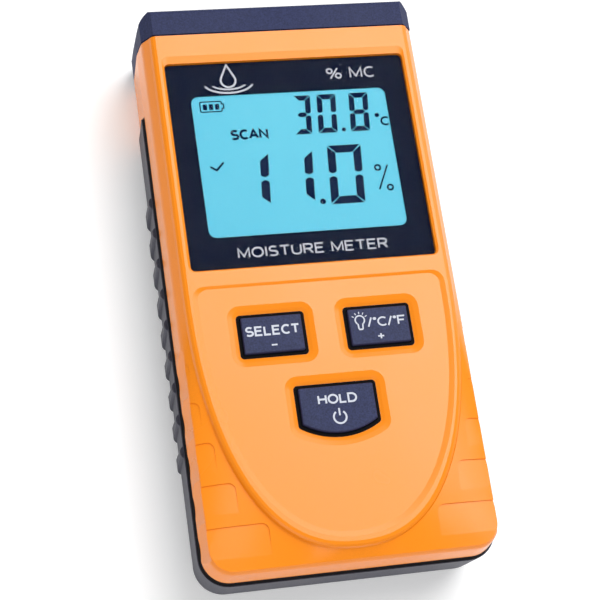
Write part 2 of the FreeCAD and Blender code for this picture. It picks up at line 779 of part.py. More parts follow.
def sensor_head():
    plan = tile(-SIDE_HALF, SIDE_HALF, COLLAR_Y, HEAD_Y, HEAD_CORNER, -PAST, FACE_Z + PAST)
    cap = closed_section(cap_points(0.0), 0.0, HEAD_PLANE, HEAD_Y).common(plan)
    cap = cap.common(head_side_view())
    ring = closed_section(cap_points(-PAST), -PAST, HEAD_PLANE - PAST, HEAD_PLANE + GROOVE)
    core = closed_section(cap_points(GROOVE), GROOVE, HEAD_PLANE - PAST, HEAD_PLANE + 2 * PAST)
    groove = ring.cut(core).common(box(-WIDE, WIDE, 0, HEAD_Y, SENSOR_DEPTH, WIDE))
    hollow = closed_section(cap_points(WALL), WALL, HEAD_PLANE - PAST, HEAD_Y - WALL)
    head = cap.cut(groove).cut(hollow)
    head = head.fuse(box(-PLATE_HALF, PLATE_HALF, COLLAR_Y, HEAD_PLANE + PAST, 0, PLATE_THICK))
    for x, y in HEAD_SCREWS:
        head = head.fuse(pillar(x, y, SENSOR_DEPTH, HEAD_BOSS, HEAD_POST[0]))
        head = head.cut(pillar(x, y, -PAST, HEAD_SINK, 2.0))
        head = head.cut(pillar(x, y, PAST, HEAD_BOSS + PAST, 1.05))
    recess = tile(-SENSOR_X, SENSOR_X, *SENSOR_Y, 2.0, -PAST, SENSOR_DEPTH)
    return head.cut(recess).removeSplitter()


def sensor_cover():
    gap = 0.08
    return tile(
        -SENSOR_X + gap, SENSOR_X - gap, SENSOR_Y[0] + gap, SENSOR_Y[1] - gap, 1.9,
        0, SENSOR_DEPTH - FOIL,
    )


def sensor_electrodes():
    """Centre pad and a surrounding ring of foil that set up the measuring field."""
    low = SENSOR_DEPTH - FOIL
    mid = (SENSOR_Y[0] + SENSOR_Y[1]) / 2
    pad = tile(-8, 8, mid - 4.5, mid + 4.5, 1.0, low, SENSOR_DEPTH)
    outer = tile(-17.5, 17.5, mid - 8.6, mid + 8.6, 2.0, low, SENSOR_DEPTH)
    inner = tile(-12, 12, mid - 6.4, mid + 6.4, 1.5, low - PAST, SENSOR_DEPTH + PAST)
    return Part.makeCompound([pad, outer.cut(inner)])


def sensor_board():
    return box(*SENSOR_BOARD, PLATE_THICK, SENSOR_BOARD_TOP)


def sensor_coil():
    z = SENSOR_BOARD_TOP
    drum = pillar(*COIL, z, z + 5, 4.0)
    winding = pillar(*COIL, z + 1, z + 4, 6.0).cut(pillar(*COIL, z, z + 5, 3.2))
    return drum.cut(winding)


def sensor_cable():
    return box(-6, 6, 53.0, 53.6, SENSOR_BOARD_TOP, BOARD_Z[0])


def battery():
    width, length, thick = BATTERY
    body = box(-width / 2, width / 2, BATTERY_Y, BATTERY_Y + length, BATTERY_Z, BATTERY_Z + thick)
    edges = [e for e in body.Edges if e.BoundBox.YLength > length - 0.1]
    return body.makeFillet(2.0, edges)


def battery_terminals():
    y = BATTERY_Y + BATTERY[1]
    z = BATTERY_Z + BATTERY[2] / 2
    studs = [Part.makeCylinder(r, TERMINAL_LENGTH, V(x, y, z), V(0, 1, 0)) for x, r in TERMINALS]
    return Part.makeCompound(studs)


def battery_snap():
    y = BATTERY_Y + BATTERY[1] + TERMINAL_LENGTH
    z = BATTERY_Z + BATTERY[2] / 2
    block = box(-12, 12, y, y + SNAP_THICK, z - SNAP_HIGH / 2, z + SNAP_HIGH / 2)
    edges = [e for e in block.Edges if e.BoundBox.YLength > SNAP_THICK - 0.1]
    return block.makeFillet(3.0, edges)


def battery_leads():
    y = BATTERY_Y + BATTERY[1] + TERMINAL_LENGTH + SNAP_THICK / 2
    z = BATTERY_Z + (BATTERY[2] + SNAP_HIGH) / 2
    return Part.makeCompound([pillar(x, y, z, BOARD_Z[0], 0.7) for x in (-3, 3)])


def battery_door():
    """Door that turns on two pins at its upper end, with finger grooves near the other."""
    mid = DOOR_THICK / 2
    plate = tile(-DOOR_HALF, DOOR_HALF, BAY_Y[0] + DOOR_GAP, PIVOT_Y + 3, 0.8, 0, DOOR_THICK)
    plate = plate.cut(box(-WIDE, WIDE, PIVOT_Y, PIVOT_Y + 5, -PAST, DOOR_THICK + PAST))
    knuckle = rod(-DOOR_HALF, DOOR_HALF, PIVOT_Y, mid, mid)
    pins = rod(-BAY_HALF - PIN_REACH, BAY_HALF + PIN_REACH, PIVOT_Y, mid, PIN_RADIUS)
    door = fuse_all([plate, knuckle, pins])
    for i in range(GROOVE_COUNT):
        door = door.cut(rod(-6, 6, BAY_Y[0] + 6.0 + 2.0 * i, -0.2, 0.6))
    return door


def battery_pad():
    return box(-9, 9, -52, -24, DOOR_THICK, DOOR_THICK + 0.5)


def pan_screw(place, size, head_z, tip_z):
    """Screw with a cross recess in its underside head, shank pointing up."""
    x, y = place
    head_radius, head_height, shank_radius = size
    head_top = head_z + head_height
    screw = pillar(x, y, head_z, head_top, head_radius)
    screw = screw.fuse(pillar(x, y, head_top - 0.1, tip_z, shank_radius))
    arm = head_radius * 0.6
    depth = head_height * 0.5
    for dx, dy in ((arm, 0.22), (0.22, arm)):
        screw = screw.cut(box(x - dx, x + dx, y - dy, y + dy, head_z - PAST, head_z + depth))
    return screw


def case_screws():
    head_z = SINK_DEPTH - CASE_SCREW[1]
    return Part.makeCompound([pan_screw(place, CASE_SCREW, head_z, CASE_TIP) for place in CASE_SCREWS])


def board_screws():
    head_z = BOARD_Z[0] - BOARD_SCREW[1]
    return Part.makeCompound([pan_screw(place, BOARD_SCREW, head_z, BOARD_TIP) for place in BOARD_SCREWS])


def head_screws():
    head_z = HEAD_SINK - HEAD_SCREW[1]
    return Part.makeCompound([pan_screw(place, HEAD_SCREW, head_z, HEAD_TIP) for place in HEAD_SCREWS])


PARTS = (
    front_housing, sensor_head, rear_cover, seam_gasket,
    display_window, window_mask, lcd_panel, lcd_frame, backlight_panel, backlight_leds,
    zebra_connectors, main_board, controller_chip, capacitors, board_components, buzzer,
    thermistor, tact_switches, keypad_membrane, key_select, key_light, key_hold,
    sensor_cover, sensor_electrodes, sensor_board, sensor_coil, sensor_cable,
    battery, battery_terminals, battery_snap, battery_leads, battery_door, battery_pad,
    rating_label, case_screws, board_screws, head_screws,
)


def main():
    os.makedirs("parts", exist_ok=True)
    for make in PARTS:
        shape = make()
        shape.translate(V(0, -MIDDLE_Y, 0))
        shape.exportStep("parts/" + make.__name__ + ".step")


main()
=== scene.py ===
"""Looks of a handheld pinless moisture meter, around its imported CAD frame.

Lengths in the frame are metres. Printed marks are laid out in millimetres, which MM turns into
metres.
"""

import json
import math

import bmesh
import bpy
from mathutils import Matrix, Vector


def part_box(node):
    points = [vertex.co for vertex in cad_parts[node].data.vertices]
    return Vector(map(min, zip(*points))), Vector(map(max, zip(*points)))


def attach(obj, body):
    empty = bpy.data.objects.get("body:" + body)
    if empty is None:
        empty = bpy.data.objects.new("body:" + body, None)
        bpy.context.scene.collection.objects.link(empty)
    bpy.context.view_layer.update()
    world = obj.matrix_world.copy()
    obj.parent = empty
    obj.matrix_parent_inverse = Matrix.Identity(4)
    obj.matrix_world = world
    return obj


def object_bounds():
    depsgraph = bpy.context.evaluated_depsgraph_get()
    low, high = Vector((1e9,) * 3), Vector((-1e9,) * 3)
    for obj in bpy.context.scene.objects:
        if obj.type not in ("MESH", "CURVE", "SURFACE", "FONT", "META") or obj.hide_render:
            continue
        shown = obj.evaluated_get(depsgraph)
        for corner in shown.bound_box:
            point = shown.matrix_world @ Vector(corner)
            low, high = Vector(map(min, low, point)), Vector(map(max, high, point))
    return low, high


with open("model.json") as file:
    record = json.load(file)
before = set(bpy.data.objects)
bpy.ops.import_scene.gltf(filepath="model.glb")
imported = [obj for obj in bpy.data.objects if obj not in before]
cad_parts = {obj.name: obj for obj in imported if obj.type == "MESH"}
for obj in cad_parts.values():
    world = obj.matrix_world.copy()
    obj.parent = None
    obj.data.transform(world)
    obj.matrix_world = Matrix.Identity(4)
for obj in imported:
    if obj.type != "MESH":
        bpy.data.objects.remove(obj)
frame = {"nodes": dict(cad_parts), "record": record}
CAD_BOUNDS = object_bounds()

MM = 0.001
RECORD = frame["record"]
NODES = frame["nodes"]
BODY_OF = {node: body for body, nodes in RECORD["behaviour"]["bodies"].items() for node in nodes}


# --------------------------------------------------------------------------- node materials

# A noise texture's output hardly ever leaves this range
NOISE_LOW = 0.3
NOISE_HIGH = 0.7
# Sockets of a colour mix node: factor, first colour, second colour, and its result
MIX_FACTOR, MIX_FIRST, MIX_SECOND = 0, 6, 7
MIX_RESULT = 2


class Shader:
    """A node material built around one Principled shader, with helpers for its inputs."""

    def __init__(self, name):
        self.name = name
        self.material = bpy.data.materials.new(name)
        self.material.use_nodes = True
        self.tree = self.material.node_tree
        self.out = self.tree.nodes["Material Output"]
        self.main = self.tree.nodes["Principled BSDF"]
        self.coords = self.add("ShaderNodeTexCoord").outputs["Object"]

    def add(self, kind, **values):
        """New node with the given settings; a name that is no setting is an input socket."""
        node = self.tree.nodes.new(kind)
        for key, value in values.items():
            if hasattr(node, key):
                setattr(node, key, value)
            else:
                node.inputs[key.replace("_", " ")].default_value = value
        return node

    def set(self, **values):
        for key, value in values.items():
            self.main.inputs[key.replace("_", " ")].default_value = value

    def link(self, source, target):
        self.tree.links.new(source, target)

    def feed(self, source, *names):
        """Links one source to inputs of the Principled shader."""
        for name in names:
            self.link(source, self.main.inputs[name])

    def noise(self, per_metre, detail=2.0, rough=0.5, stretch=(1, 1, 1)):
        """Noise output with features about 1 / per_metre across."""
        mapping = self.add("ShaderNodeMapping", Scale=stretch)
        self.link(self.coords, mapping.inputs["Vector"])
        node = self.add("ShaderNodeTexNoise", Scale=per_metre, Detail=detail, Roughness=rough)
        self.link(mapping.outputs["Vector"], node.inputs["Vector"])
        return node.outputs["Fac"]

    def ramp(self, factor, first, last, start=NOISE_LOW, end=NOISE_HIGH):
        """Colour that goes from first to last while the factor goes from start to end."""
        node = self.add("ShaderNodeValToRGB")
        stops = ((start, first), (end, last))
        for element, (place, colour) in zip(node.color_ramp.elements, stops):
            element.position = place
            element.color = (*colour, 1.0)
        self.link(factor, node.inputs["Fac"])
        return node.outputs["Color"]

    def span(self, factor, low, high):
        """Noise factor mapped on to low..high."""
        node = self.add(
            "ShaderNodeMapRange", From_Min=NOISE_LOW, From_Max=NOISE_HIGH, To_Min=low, To_Max=high
        )
        self.link(factor, node.inputs["Value"])
        return node.outputs["Result"]

    def bump(self, height, depth, strength):
        node = self.add("ShaderNodeBump", Strength=strength, Distance=depth)
        self.link(height, node.inputs["Height"])
        self.feed(node.outputs["Normal"], "Normal")


def shade(colour, factor):
    return tuple(min(1.0, c * factor) for c in colour)


def moulded(name, colour, roughness, grain=2600, depth=0.02, speckle=0.08, patch=0.03, shine=0.5):
    """Textured moulded plastic: fine grain in the bump, faint speckle and broad patches in colour.

    grain is in features per metre and depth in millimetres.
    """
    s = Shader(name)
    s.set(Specular_IOR_Level=shine)
    fine = s.noise(grain, rough=0.6)
    broad = s.noise(45, detail=3.0)
    mix = s.add("ShaderNodeMix", data_type="RGBA", blend_type="MULTIPLY")
    mix.inputs[MIX_FACTOR].default_value = 1.0
    s.link(s.ramp(fine, shade(colour, 1 - speckle), shade(colour, 1 + speckle)), mix.inputs[MIX_FIRST])
    s.link(s.ramp(broad, (1 - patch,) * 3, (1.0, 1.0, 1.0)), mix.inputs[MIX_SECOND])
    s.feed(mix.outputs[MIX_RESULT], "Base Color")
    s.feed(s.span(broad, roughness - 0.04, roughness + 0.04), "Roughness")
    s.bump(fine, depth * MM, 0.6)
    return s


def metal(name, colour, roughness, streak=(1, 40, 1)):
    """Plated or brushed metal with streaks along one axis."""
    s = Shader(name)
    s.set(Metallic=1.0)
    streaks = s.noise(900, stretch=streak)
    s.feed(s.ramp(streaks, shade(colour, 0.85), colour), "Base Color")
    s.feed(s.span(streaks, roughness * 0.7, roughness * 1.3), "Roughness")
    s.bump(streaks, 0.01 * MM, 0.4)
    return s


def printed(name, colour, roughness=0.45, shine=0.1):
    """Screen-printed ink, slightly uneven in thickness."""
    s = Shader(name)
    s.set(Specular_IOR_Level=shine)
    coat = s.noise(1800)
    s.feed(s.ramp(coat, shade(colour, 0.94), colour), "Base Color")
    s.feed(s.span(coat, roughness - 0.05, roughness + 0.05), "Roughness")
    s.bump(coat, 0.004 * MM, 0.3)
    return s


def banded(name, dark, light, per_metre):
    """Fine bands across X, as on a ribbon cable or a layered contact strip."""
    s = Shader(name)
    wave = s.add("ShaderNodeTexWave", bands_direction="X", Scale=per_metre / 3.0, Distortion=0.0)
    s.link(s.coords, wave.inputs["Vector"])
    s.feed(s.ramp(wave.outputs["Fac"], dark, light, 0.35, 0.65), "Base Color")
    s.set(Roughness=0.6)
    s.bump(wave.outputs["Fac"], 0.1 * MM, 0.5)
    return s


def circuit_board(name):
    """Green solder mask with the copper tracks below it showing as a lighter grid."""
    s = Shader(name)
    tracks = s.add(
        "ShaderNodeTexBrick", Scale=260.0, Color1=(0.012, 0.150, 0.060, 1),
        Color2=(0.020, 0.210, 0.085, 1), Mortar=(0.008, 0.110, 0.045, 1),
    )
    s.link(s.coords, tracks.inputs["Vector"])
    s.feed(tracks.outputs["Color"], "Base Color")
    s.set(Roughness=0.35)
    s.bump(tracks.outputs["Fac"], 0.03 * MM, 0.4)
    return s


def clear_lens(name):
    """Thin clear acrylic: see-through, with a mirror reflection that grows at low angles.

    The share of reflection is the same from both sides of a face, so the display behind the lens
    never goes black.
    """
    s = Shader(name)
    s.tree.nodes.remove(s.main)
    through = s.add("ShaderNodeBsdfTransparent")
    gloss = s.add("ShaderNodeBsdfGlossy")
    s.link(s.span(s.noise(60, detail=3.0), 0.02, 0.06), gloss.inputs["Roughness"])
    slant = s.add("ShaderNodeLayerWeight", Blend=0.5)
    steep = s.add("ShaderNodeMath", operation="POWER")
    steep.inputs[1].default_value = 5.0
    share = s.add("ShaderNodeMath", operation="MULTIPLY_ADD")
    share.inputs[1].default_value = 0.5
    share.inputs[2].default_value = 0.0012
    mix = s.add("ShaderNodeMixShader")
    s.link(slant.outputs["Facing"], steep.inputs[0])
    s.link(steep.outputs["Value"], share.inputs[0])
    s.link(share.outputs["Value"], mix.inputs["Fac"])
    s.link(through.outputs["BSDF"], mix.inputs[1])
    s.link(gloss.outputs["BSDF"], mix.inputs[2])
    s.link(mix.outputs["Shader"], s.out.inputs["Surface"])
    return s


def lit_display(name):
    """Backlit liquid-crystal glass: cyan, a little uneven where the light guide fades."""
    s = Shader(name)
    glow = s.noise(22)
    cells = s.noise(5200, detail=1.0)
    cyan = s.ramp(glow, (0.037, 0.213, 0.290), (0.044, 0.228, 0.300))
    s.feed(cyan, "Base Color", "Emission Color")
    s.set(Emission_Strength=1.45, Specular_IOR_Level=0.1)
    s.feed(s.span(cells, 0.25, 0.4), "Roughness")
    s.bump(cells, 0.005 * MM, 0.3)
    return s


ORANGE = (0.940, 0.262, 0.008)
SLATE = (0.024, 0.031, 0.088)
CHARCOAL = (0.043, 0.044, 0.066)

# One material for each slot of the record, under the slot's name
SLOT_SHADERS = (
    moulded("orange_shell", ORANGE, 0.24, grain=3200, depth=0.01, speckle=0.03, shine=0.35),
    moulded("slate_cap", SLATE, 0.62, depth=0.05, speckle=0.30, patch=0.05, shine=0.2),
    moulded("rear_shell", CHARCOAL, 0.5, depth=0.05, speckle=0.30, patch=0.05, shine=0.32),
    moulded("key_plastic", SLATE, 0.6, grain=2400, depth=0.04, speckle=0.35, patch=0.05, shine=0.25),
    # Near-black rubber: partly its own black and partly painted shade, darker than bare rubber so the
    # gaps it fills read as deep shadow
    moulded(
        "black_rubber", (0.004, 0.0035, 0.004), 0.8,
        grain=2000, depth=0.04, speckle=0.2, patch=0.1, shine=0.1,
    ),
    moulded("black_plastic", (0.012, 0.012, 0.014), 0.5),
    moulded("chip_body", (0.018, 0.018, 0.020), 0.6),
    moulded("component_body", (0.22, 0.13, 0.06), 0.5),
    moulded("light_guide", (0.70, 0.85, 0.92), 0.3, grain=900, speckle=0.03),
    moulded("led_body", (0.85, 0.85, 0.70), 0.25, grain=1500, depth=0.01, speckle=0.03),
    moulded("sensor_face", (0.020, 0.020, 0.024), 0.35, grain=3000, depth=0.01, speckle=0.15),
    moulded("ferrite", (0.03, 0.03, 0.032), 0.7, grain=1500, depth=0.08, speckle=0.3),
    moulded("lead_insulation", (0.35, 0.012, 0.010), 0.4, grain=1500, depth=0.01, speckle=0.05),
    moulded("foam", (0.05, 0.05, 0.05), 0.95, grain=1400, depth=0.30, speckle=0.5),
    moulded("blank_label", (0.50, 0.51, 0.53), 0.45, grain=1800, depth=0.01, speckle=0.04),
    metal("capacitor_can", (0.75, 0.75, 0.78), 0.3),
    metal("switch_body", (0.62, 0.62, 0.64), 0.35),
    metal("copper_foil", (0.86, 0.42, 0.25), 0.25),
    metal("battery_can", (0.10, 0.14, 0.24), 0.35, streak=(40, 1, 1)),
    metal("terminal_metal", (0.80, 0.80, 0.82), 0.2),
    metal("screw_steel", (0.55, 0.55, 0.56), 0.32),
    banded("zebra_rubber", (0.03, 0.03, 0.03), (0.55, 0.50, 0.50), per_metre=4000),
    banded("ribbon_cable", (0.30, 0.30, 0.32), (0.60, 0.60, 0.62), per_metre=900),
    printed("mask_print", (0.0005, 0.0034, 0.0175), roughness=0.5, shine=0.01),
    circuit_board("circuit_board"),
    clear_lens("clear_lens"),
    lit_display("lcd_glass"),
)
MATERIALS = {shader.name: shader.material for shader in SLOT_SHADERS}
LEGEND = printed("legend_ink", (0.60, 0.63, 0.71)).material
WINDOW_INK = printed("window_ink", (0.50, 0.52, 0.58)).material
SEGMENT_INK = printed("segment_ink", (0.0010, 0.0080, 0.0380), roughness=0.5, shine=0.01).material


def dress_cad_nodes():
    """Gives every CAD node the material of its slot."""
    for part in RECORD["subparts"]:
        node = NODES[part["node"]]
        node.data.materials.clear()
        node.data.materials.append(MATERIALS[part["material_slot"]])


# --------------------------------------------------------------------------- plates and pen strokes

INK = 0.03 * MM              # thickness of printed ink
HAIR = 0.03                  # share of it by which neighbouring plates differ
HAIR_STEPS = 7
MITRE_LIMIT = 0.5            # keeps the mitre of a sharp corner within one pen width
SAME_POINT = 0.001           # a pen line that ends this near its start is closed


def plates(name, outlines, z, material, body, slot):
    """Flat closed plates on a surface at height z, from outlines in millimetres, as one piece.

    Heights differ by a hair from plate to plate, so that crossing strokes never share a plane.
    """
    bm = bmesh.new()
    for i, outline in enumerate(outlines):
        top = z + INK * (1 + HAIR * (i % HAIR_STEPS))
        low = [bm.verts.new((x * MM, y * MM, z)) for x, y in outline]
        high = [bm.verts.new((x * MM, y * MM, top)) for x, y in outline]
        bm.faces.new(low[::-1])
        bm.faces.new(high)
        for a in range(len(outline)):
            b = (a + 1) % len(outline)
            bm.faces.new((low[a], low[b], high[b], high[a]))
    bmesh.ops.recalc_face_normals(bm, faces=bm.faces)
    mesh = bpy.data.meshes.new(name)
    bm.to_mesh(mesh)
    bm.free()
    mesh.materials.append(material)
    piece = bpy.data.objects.new(name, mesh)
    bpy.context.scene.collection.objects.link(piece)
    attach(piece, body)


def moved(outlines, dx, dy):
    return [[(x + dx, y + dy) for x, y in outline] for outline in outlines]


def stroke(points, width, closed=False):
    """Quads with mitred joints that make a line of that width through the points."""
    line = [Vector(p) for p in points]
    count = len(line)
    rims = []
    for i, here in enumerate(line):
        before = line[i - 1] if closed or i > 0 else here * 2 - line[1]
        after = line[(i + 1) % count] if closed or i < count - 1 else here * 2 - line[i - 1]
        first = (here - before).normalized()
        second = (after - here).normalized()
        across = Vector((-first.y, first.x))
        side = (across + Vector((-second.y, second.x))).normalized()
        reach = width / 2 / max(MITRE_LIMIT, side.dot(across))
        rims.append((here - side * reach, here + side * reach))
    quads = []
    for i in range(count if closed else count - 1):
        (a, b), (d, c) = rims[i], rims[(i + 1) % count]
        quads.append([tuple(p) for p in (a, d, c, b)])
    return quads


def ring(cx, cy, rx, ry, start=0.0, end=360.0, steps=28):
    """Points of an ellipse arc, angles in degrees."""
    angles = [math.radians(start + (end - start) * i / steps) for i in range(steps + 1)]
    return [(cx + rx * math.cos(a), cy + ry * math.sin(a)) for a in angles]


def dot(cx, cy, radius):
    """Closed outline of a round dot."""
    return ring(cx, cy, radius, radius)[:-1]


def bend(cx, cy, rx, ry, start, end):
    """Part of an ellipse as a polyline, about 15 degrees to a step."""
    return ring(cx, cy, rx, ry, start, end, max(3, int(abs(end - start) / 15)))


def band(cx, cy, rx, ry, width, start, end, steps=28):
    """Closed outline of an arc with a constant width."""
    outer = ring(cx, cy, rx + width / 2, ry + width / 2, start, end, steps)
    inner = ring(cx, cy, rx - width / 2, ry - width / 2, start, end, steps)
    return outer + inner[::-1]


# --------------------------------------------------------------------------- letters and figures

# Capitals as pen lines in a box 1 high: width, then closed or open lines. * is a degree sign
GLYPHS = {
    "A": (0.74, [[(0, 0), (0.37, 1), (0.74, 0)], [(0.15, 0.34), (0.59, 0.34)]]),
    "C": (0.62, [bend(0.38, 0.5, 0.38, 0.5, 50, 310)]),
    "D": (0.70, [[(0, 0), (0, 1), (0.30, 1)] + bend(0.30, 0.5, 0.40, 0.5, 75, -90) + [(0, 0)]]),
    "E": (0.58, [[(0.58, 1), (0, 1), (0, 0), (0.58, 0)], [(0, 0.53), (0.52, 0.53)]]),
    "F": (0.54, [[(0.54, 1), (0, 1), (0, 0)], [(0, 0.51), (0.46, 0.51)]]),
    "H": (0.66, [[(0, 0), (0, 1)], [(0.66, 0), (0.66, 1)], [(0, 0.53), (0.66, 0.53)]]),
    "I": (0.0, [[(0, 0), (0, 1)]]),
    "L": (0.52, [[(0, 1), (0, 0), (0.52, 0)]]),
    "M": (0.80, [[(0, 0), (0, 1), (0.40, 0.12), (0.80, 1), (0.80, 0)]]),
    "N": (0.66, [[(0, 0), (0, 1), (0.66, 0), (0.66, 1)]]),
    "O": (0.80, [bend(0.40, 0.5, 0.40, 0.5, 0, 360)]),
    "R": (0.64, [
        [(0, 0), (0, 1), (0.36, 1)] + bend(0.36, 0.74, 0.26, 0.26, 75, -90) + [(0, 0.48)],
        [(0.34, 0.48), (0.64, 0)],
    ]),
    "S": (0.60, [bend(0.30, 0.745, 0.27, 0.255, 35, 250) + bend(0.30, 0.26, 0.30, 0.26, 70, -145)]),
    "T": (0.66, [[(0, 1), (0.66, 1)], [(0.33, 1), (0.33, 0)]]),
    "U": (0.66, [
        [(0, 1), (0, 0.33)] + bend(0.33, 0.33, 0.33, 0.33, 195, 345) + [(0.66, 0.33), (0.66, 1)],
    ]),
    "%": (0.98, [
        [(0.20, -0.04), (0.78, 1.04)],
        bend(0.19, 0.76, 0.19, 0.24, 0, 360),
        bend(0.79, 0.24, 0.19, 0.24, 0, 360),
    ]),
    "/": (0.30, [[(0, -0.06), (0.30, 1.06)]]),
    "*": (0.16, [bend(0.08, 0.90, 0.08, 0.08, 0, 360)]),
    " ": (0.20, []),
}

SEGMENTS_OF = {"0": "abcdef", "1": "bc", "3": "abgcd", "8": "abcdefg"}
# Proportions of a seven-segment figure, as shares of its bars' thickness
BAR_GAP = 0.13               # open gap between two bars
TIP_LIFT = 0.156             # pointed middle end of a side bar above the figure's middle
POINT_LENGTH = 0.275         # from that point to where the bar has its full width
MITRE_DROP = 0.85            # a mitred end is this much shorter on its inner side
WAIST = 0.45                 # half height of the middle bar


def lettering(text, centre, height, width, pen, spacing=0.24):
    """Quads for a line of capitals of a given height and overall width, centred on a point."""
    advance = 0.0
    lines = []
    for char in text:
        size, strokes = GLYPHS[char]
        lines += moved(strokes, advance, 0)
        advance += size + spacing
    total = advance - spacing
    tall = height - pen
    across = (width - pen) / total
    quads = []
    for one in lines:
        points = [((x - total / 2) * across + centre[0], (y - 0.5) * tall + centre[1]) for x, y in one]
        closed = math.dist(points[0], points[-1]) < SAME_POINT
        quads += stroke(points[:-1] if closed else points, pen, closed)
    return quads


def digit(char, x0, x1, y0, y1, thick, slant):
    """Seven-segment figure: bars with mitred or pointed ends, leaning by slant per unit of height."""
    gap = thick * BAR_GAP
    half = thick / 2
    mid = (y0 + y1) / 2
    tip = mid + thick * TIP_LIFT
    heel = tip + thick * POINT_LENGTH
    crest = y1 - gap                      # upper end of an upper side bar on its outer side
    brow = crest - thick * MITRE_DROP     # and on its inner side
    left = x0 + gap
    right = x1 - gap
    upper_right = [(x1, crest), (x1, heel), (x1 - half, tip), (x1 - thick, heel), (x1 - thick, brow)]
    upper_left = [(x0, crest), (x0, heel), (x0 + half, tip), (x0 + thick, heel), (x0 + thick, brow)]
    waist = thick * WAIST
    bars = {
        "a": [(left, y1), (right, y1), (right - thick, y1 - thick), (left + thick, y1 - thick)],
        "b": upper_right,
        "c": [(x, 2 * mid - y) for x, y in upper_right],
        "d": [(left, y0), (left + thick, y0 + thick), (right - thick, y0 + thick), (right, y0)],
        "e": [(x, 2 * mid - y) for x, y in upper_left],
        "f": upper_left,
        "g": [
            (left + half, mid), (left + thick, mid + waist), (right - thick, mid + waist),
            (right - half, mid), (right - thick, mid - waist), (left + thick, mid - waist),
        ],
    }
    return [[(x + (y - y0) * slant, y) for x, y in bars[s]] for s in SEGMENTS_OF[char]]


# --------------------------------------------------------------------------- marks in the window

# Rows of figures, in millimetres from the middle of the window's lower edge: character, left
# and right side; then lower and upper end, bar thickness and lean of the row
ONES = (("1", -11.9, -8.65), ("1", -0.6, 2.65))
ONES_ROW = (16.65, 30.55, 2.15, 0.083)
NOUGHT = (("0", 6.65, 15.4),)
NOUGHT_ROW = (15.55, 31.45, 2.05, 0.072)
DEGREES = (("3", 0.2, 4.6), ("0", 6.3, 11.24), ("8", 14.7, 19.7))
DEGREES_ROW = (35.05, 45.75, 1.4, 0.085)
READING_POINT = (4.6, 16.5, 0.75)
DEGREES_POINT = (12.93, 35.7, 0.55)
DEGREE_SIGN = (22.15, 39.2, 0.6)
CHECK_MARK = ((-22.5, 27.65), (-21.0, 26.6), (-19.05, 28.65))
PERCENT_BAR = ((19.6, 18.75), (22.6, 25.3))
PERCENT_RINGS = ((20.0, 24.7), (22.45, 19.15))
PERCENT_RADIUS = 0.70

# Battery symbol: left, right, lower and upper side, corner radius, tip, and its bars of charge
CELL = (-23.0, -17.5, 42.6, 45.4)
CELL_CORNER = 0.4
CELL_PEN = 0.3
CELL_TIP = (-17.0, 43.4, 44.6)
CHARGE_X = (-22.3, -20.75, -19.2)
CHARGE_WIDE = 1.05
CHARGE_Y = (43.15, 44.7)

# Water drop over two ripples: each ripple's radii, pen and angles
DROP_X = -15.0
DROP_TOP = 55.2
DROP_Y = 50.9
DROP_RADIUS = 1.9
DROP_PEN = 0.5
RIPPLE_Y = 50.3
RIPPLES = ((6.3, 2.9, 0.5, 195, 345), (4.6, 1.9, 0.45, 205, 335))

LCD_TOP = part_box("lcd_panel")[1].z
MASK_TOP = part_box("window_mask")[1].z
WINDOW_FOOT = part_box("window_mask")[0].y / MM


def in_window(outlines):
    """Outlines laid out from the middle of the window's lower edge, moved to the frame's origin."""
    return moved(outlines, 0, WINDOW_FOOT)


def figures(row, y0, y1, thick, slant):
    bars = []
    for char, x0, x1 in row:
        bars += digit(char, x0, x1, y0, y1, thick, slant)
    return bars


def battery_icon():
    """Outline of a battery with three bars of charge."""
    x0, x1, y0, y1 = CELL
    tip, tip_low, tip_high = CELL_TIP
    r = CELL_CORNER
    case = ring(x0 + r, y0 + r, r, r, 180, 270, 4) + ring(x1 - r, y0 + r, r, r, 270, 360, 4)
    case += [(x1, tip_low), (tip, tip_low), (tip, tip_high), (x1, tip_high)]
    case += ring(x1 - r, y1 - r, r, r, 0, 90, 4) + ring(x0 + r, y1 - r, r, r, 90, 180, 4)
    low, high = CHARGE_Y
    bars = [
        [(x, low), (x + CHARGE_WIDE, low), (x + CHARGE_WIDE, high), (x, high)] for x in CHARGE_X
    ]
    return stroke(case, CELL_PEN, closed=True) + bars


def display_symbols():
    """Check mark, battery, units and the word SCAN."""
    marks = stroke(CHECK_MARK, 0.52)
    marks += battery_icon()
    marks += [dot(*DEGREE_SIGN)]
    marks += stroke(PERCENT_BAR, 0.42)
    for x, y in PERCENT_RINGS:
        marks += stroke(ring(x, y, PERCENT_RADIUS, PERCENT_RADIUS, steps=16), 0.48)
    marks += lettering("SCAN", (-11.5, 35.9), height=2.85, width=9.7, pen=0.62)
    marks += lettering("C", (23.95, 37.45), height=2.6, width=2.3, pen=0.50)
    return marks


def display_marks():
    """Figures and symbols shown by the display."""
    reading = figures(ONES, *ONES_ROW) + figures(NOUGHT, *NOUGHT_ROW) + [dot(*READING_POINT)]
    temperature = figures(DEGREES, *DEGREES_ROW) + [dot(*DEGREES_POINT)]
    args = (LCD_TOP, SEGMENT_INK, "case", "lcd_glass")
    plates("lcd_reading", in_window(reading), *args)
    plates("lcd_temperature", in_window(temperature), *args)
    plates("lcd_symbols", in_window(display_symbols()), *args)


